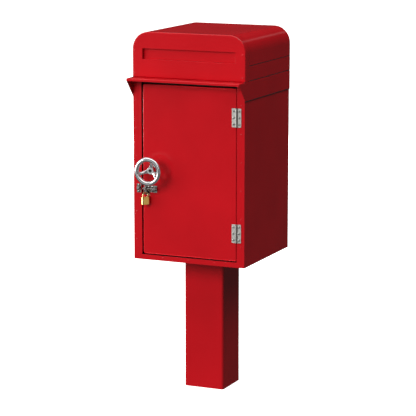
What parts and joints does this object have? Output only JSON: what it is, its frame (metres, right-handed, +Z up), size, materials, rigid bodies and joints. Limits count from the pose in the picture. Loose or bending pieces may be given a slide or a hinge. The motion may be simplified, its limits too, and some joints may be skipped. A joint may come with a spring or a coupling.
{
  "type": "parcel mailbox",
  "caption": "Free-standing steel parcel mailbox on a square post, with a hinged parcel door, handwheel latch, padlocked slide bolt, visor, letter slot with flap and lifting roof lid.",
  "frame": {"origin": "middle of the square post's foot, on the ground", "axes": "+Z up along the post, front with the door and the slot towards -Y"},
  "size_m": [0.353, 0.3983, 1.067],
  "materials": {
    "red_paint": "gloss powder coat",
    "zinc_steel": "bright zinc plate",
    "chrome_plate": "polished",
    "padlock_brass": "satin",
    "seal_rubber": "matte"
  },
  "bodies": {
    "cabinet": {"post_tube": "red_paint", "post_head_plate": "red_paint", "cabinet_shell": "red_paint", "cabinet_floor": "red_paint", "front_frame": "red_paint", "visor_tray": "red_paint", "mail_tub": "red_paint", "header_front": "red_paint", "lid_gutter": "red_paint", "flap_brackets": "red_paint", "upper_hinge_frame_leaf": "zinc_steel", "lower_hinge_frame_leaf": "zinc_steel", "left_lid_hinge_tub_leaf": "zinc_steel", "right_lid_hinge_tub_leaf": "zinc_steel", "door_hinge_pins": "zinc_steel", "lid_hinge_pins": "zinc_steel", "hinge_frame_screws": "zinc_steel", "lid_hinge_tub_screws": "zinc_steel", "tray_screws": "zinc_steel", "header_screws": "zinc_steel", "floor_bolts": "zinc_steel", "floor_nuts": "zinc_steel", "flap_pin": "zinc_steel", "bolt_keeper": "zinc_steel", "keeper_screws": "zinc_steel", "door_seal": "seal_rubber", "skirt_trim": "seal_rubber", "lid_seal": "seal_rubber"},
    "door": {"door_panel": "red_paint", "upper_hinge_door_leaf": "zinc_steel", "lower_hinge_door_leaf": "zinc_steel", "hinge_door_screws": "zinc_steel", "spindle_bush": "chrome_plate", "bush_nut": "zinc_steel", "bolt_plate": "zinc_steel", "bolt_plate_screws": "zinc_steel"},
    "wheel": {"handwheel": "chrome_plate", "wheel_spindle": "zinc_steel", "wheel_cap_screw": "chrome_plate", "latch_cam": "zinc_steel", "cam_nut": "zinc_steel"},
    "bolt": {"slide_bolt": "zinc_steel"},
    "shackle": {"padlock_shackle": "zinc_steel"},
    "padlock": {"padlock_body": "padlock_brass", "padlock_plug": "padlock_brass"},
    "flap": {"slot_flap": "red_paint"},
    "lid": {"roof_lid": "red_paint", "left_lid_hinge_lid_leaf": "zinc_steel", "right_lid_hinge_lid_leaf": "zinc_steel", "lid_hinge_lid_screws": "zinc_steel"}
  },
  "joints": [
    {"name": "door_hinge", "type": "hinge", "parent": "cabinet", "child": "door", "pos_m": [0.1504, -0.173, 0.6665], "axis": [0, 0, 1], "range_deg": [0, 110]},
    {"name": "wheel_turn", "type": "hinge", "parent": "door", "child": "wheel", "pos_m": [-0.1085, -0.17, 0.669], "axis": [0, 1, 0], "range_deg": [0, 90]},
    {"name": "bolt_slide", "type": "slide", "parent": "door", "child": "bolt", "axis": [-1, 0, 0], "range_m": [0, 0.013]},
    {"name": "padlock_swing", "type": "hinge", "parent": "door", "child": "shackle", "pos_m": [-0.1303, -0.1855, 0.6058], "axis": [-1, 0, 0], "range_deg": [0, 60]},
    {"name": "shackle_release", "type": "slide", "parent": "shackle", "child": "padlock", "axis": [0, 0, -1], "range_m": [0, 0.007]},
    {"name": "flap_swing", "type": "hinge", "parent": "cabinet", "child": "flap", "pos_m": [0, -0.1572, 1.0275], "axis": [1, 0, 0], "range_deg": [0, 75]},
    {"name": "lid_lift", "type": "hinge", "parent": "cabinet", "child": "lid", "pos_m": [0, 0.1745, 0.9795], "axis": [-1, 0, 0], "range_deg": [0, 95]}
  ]
}
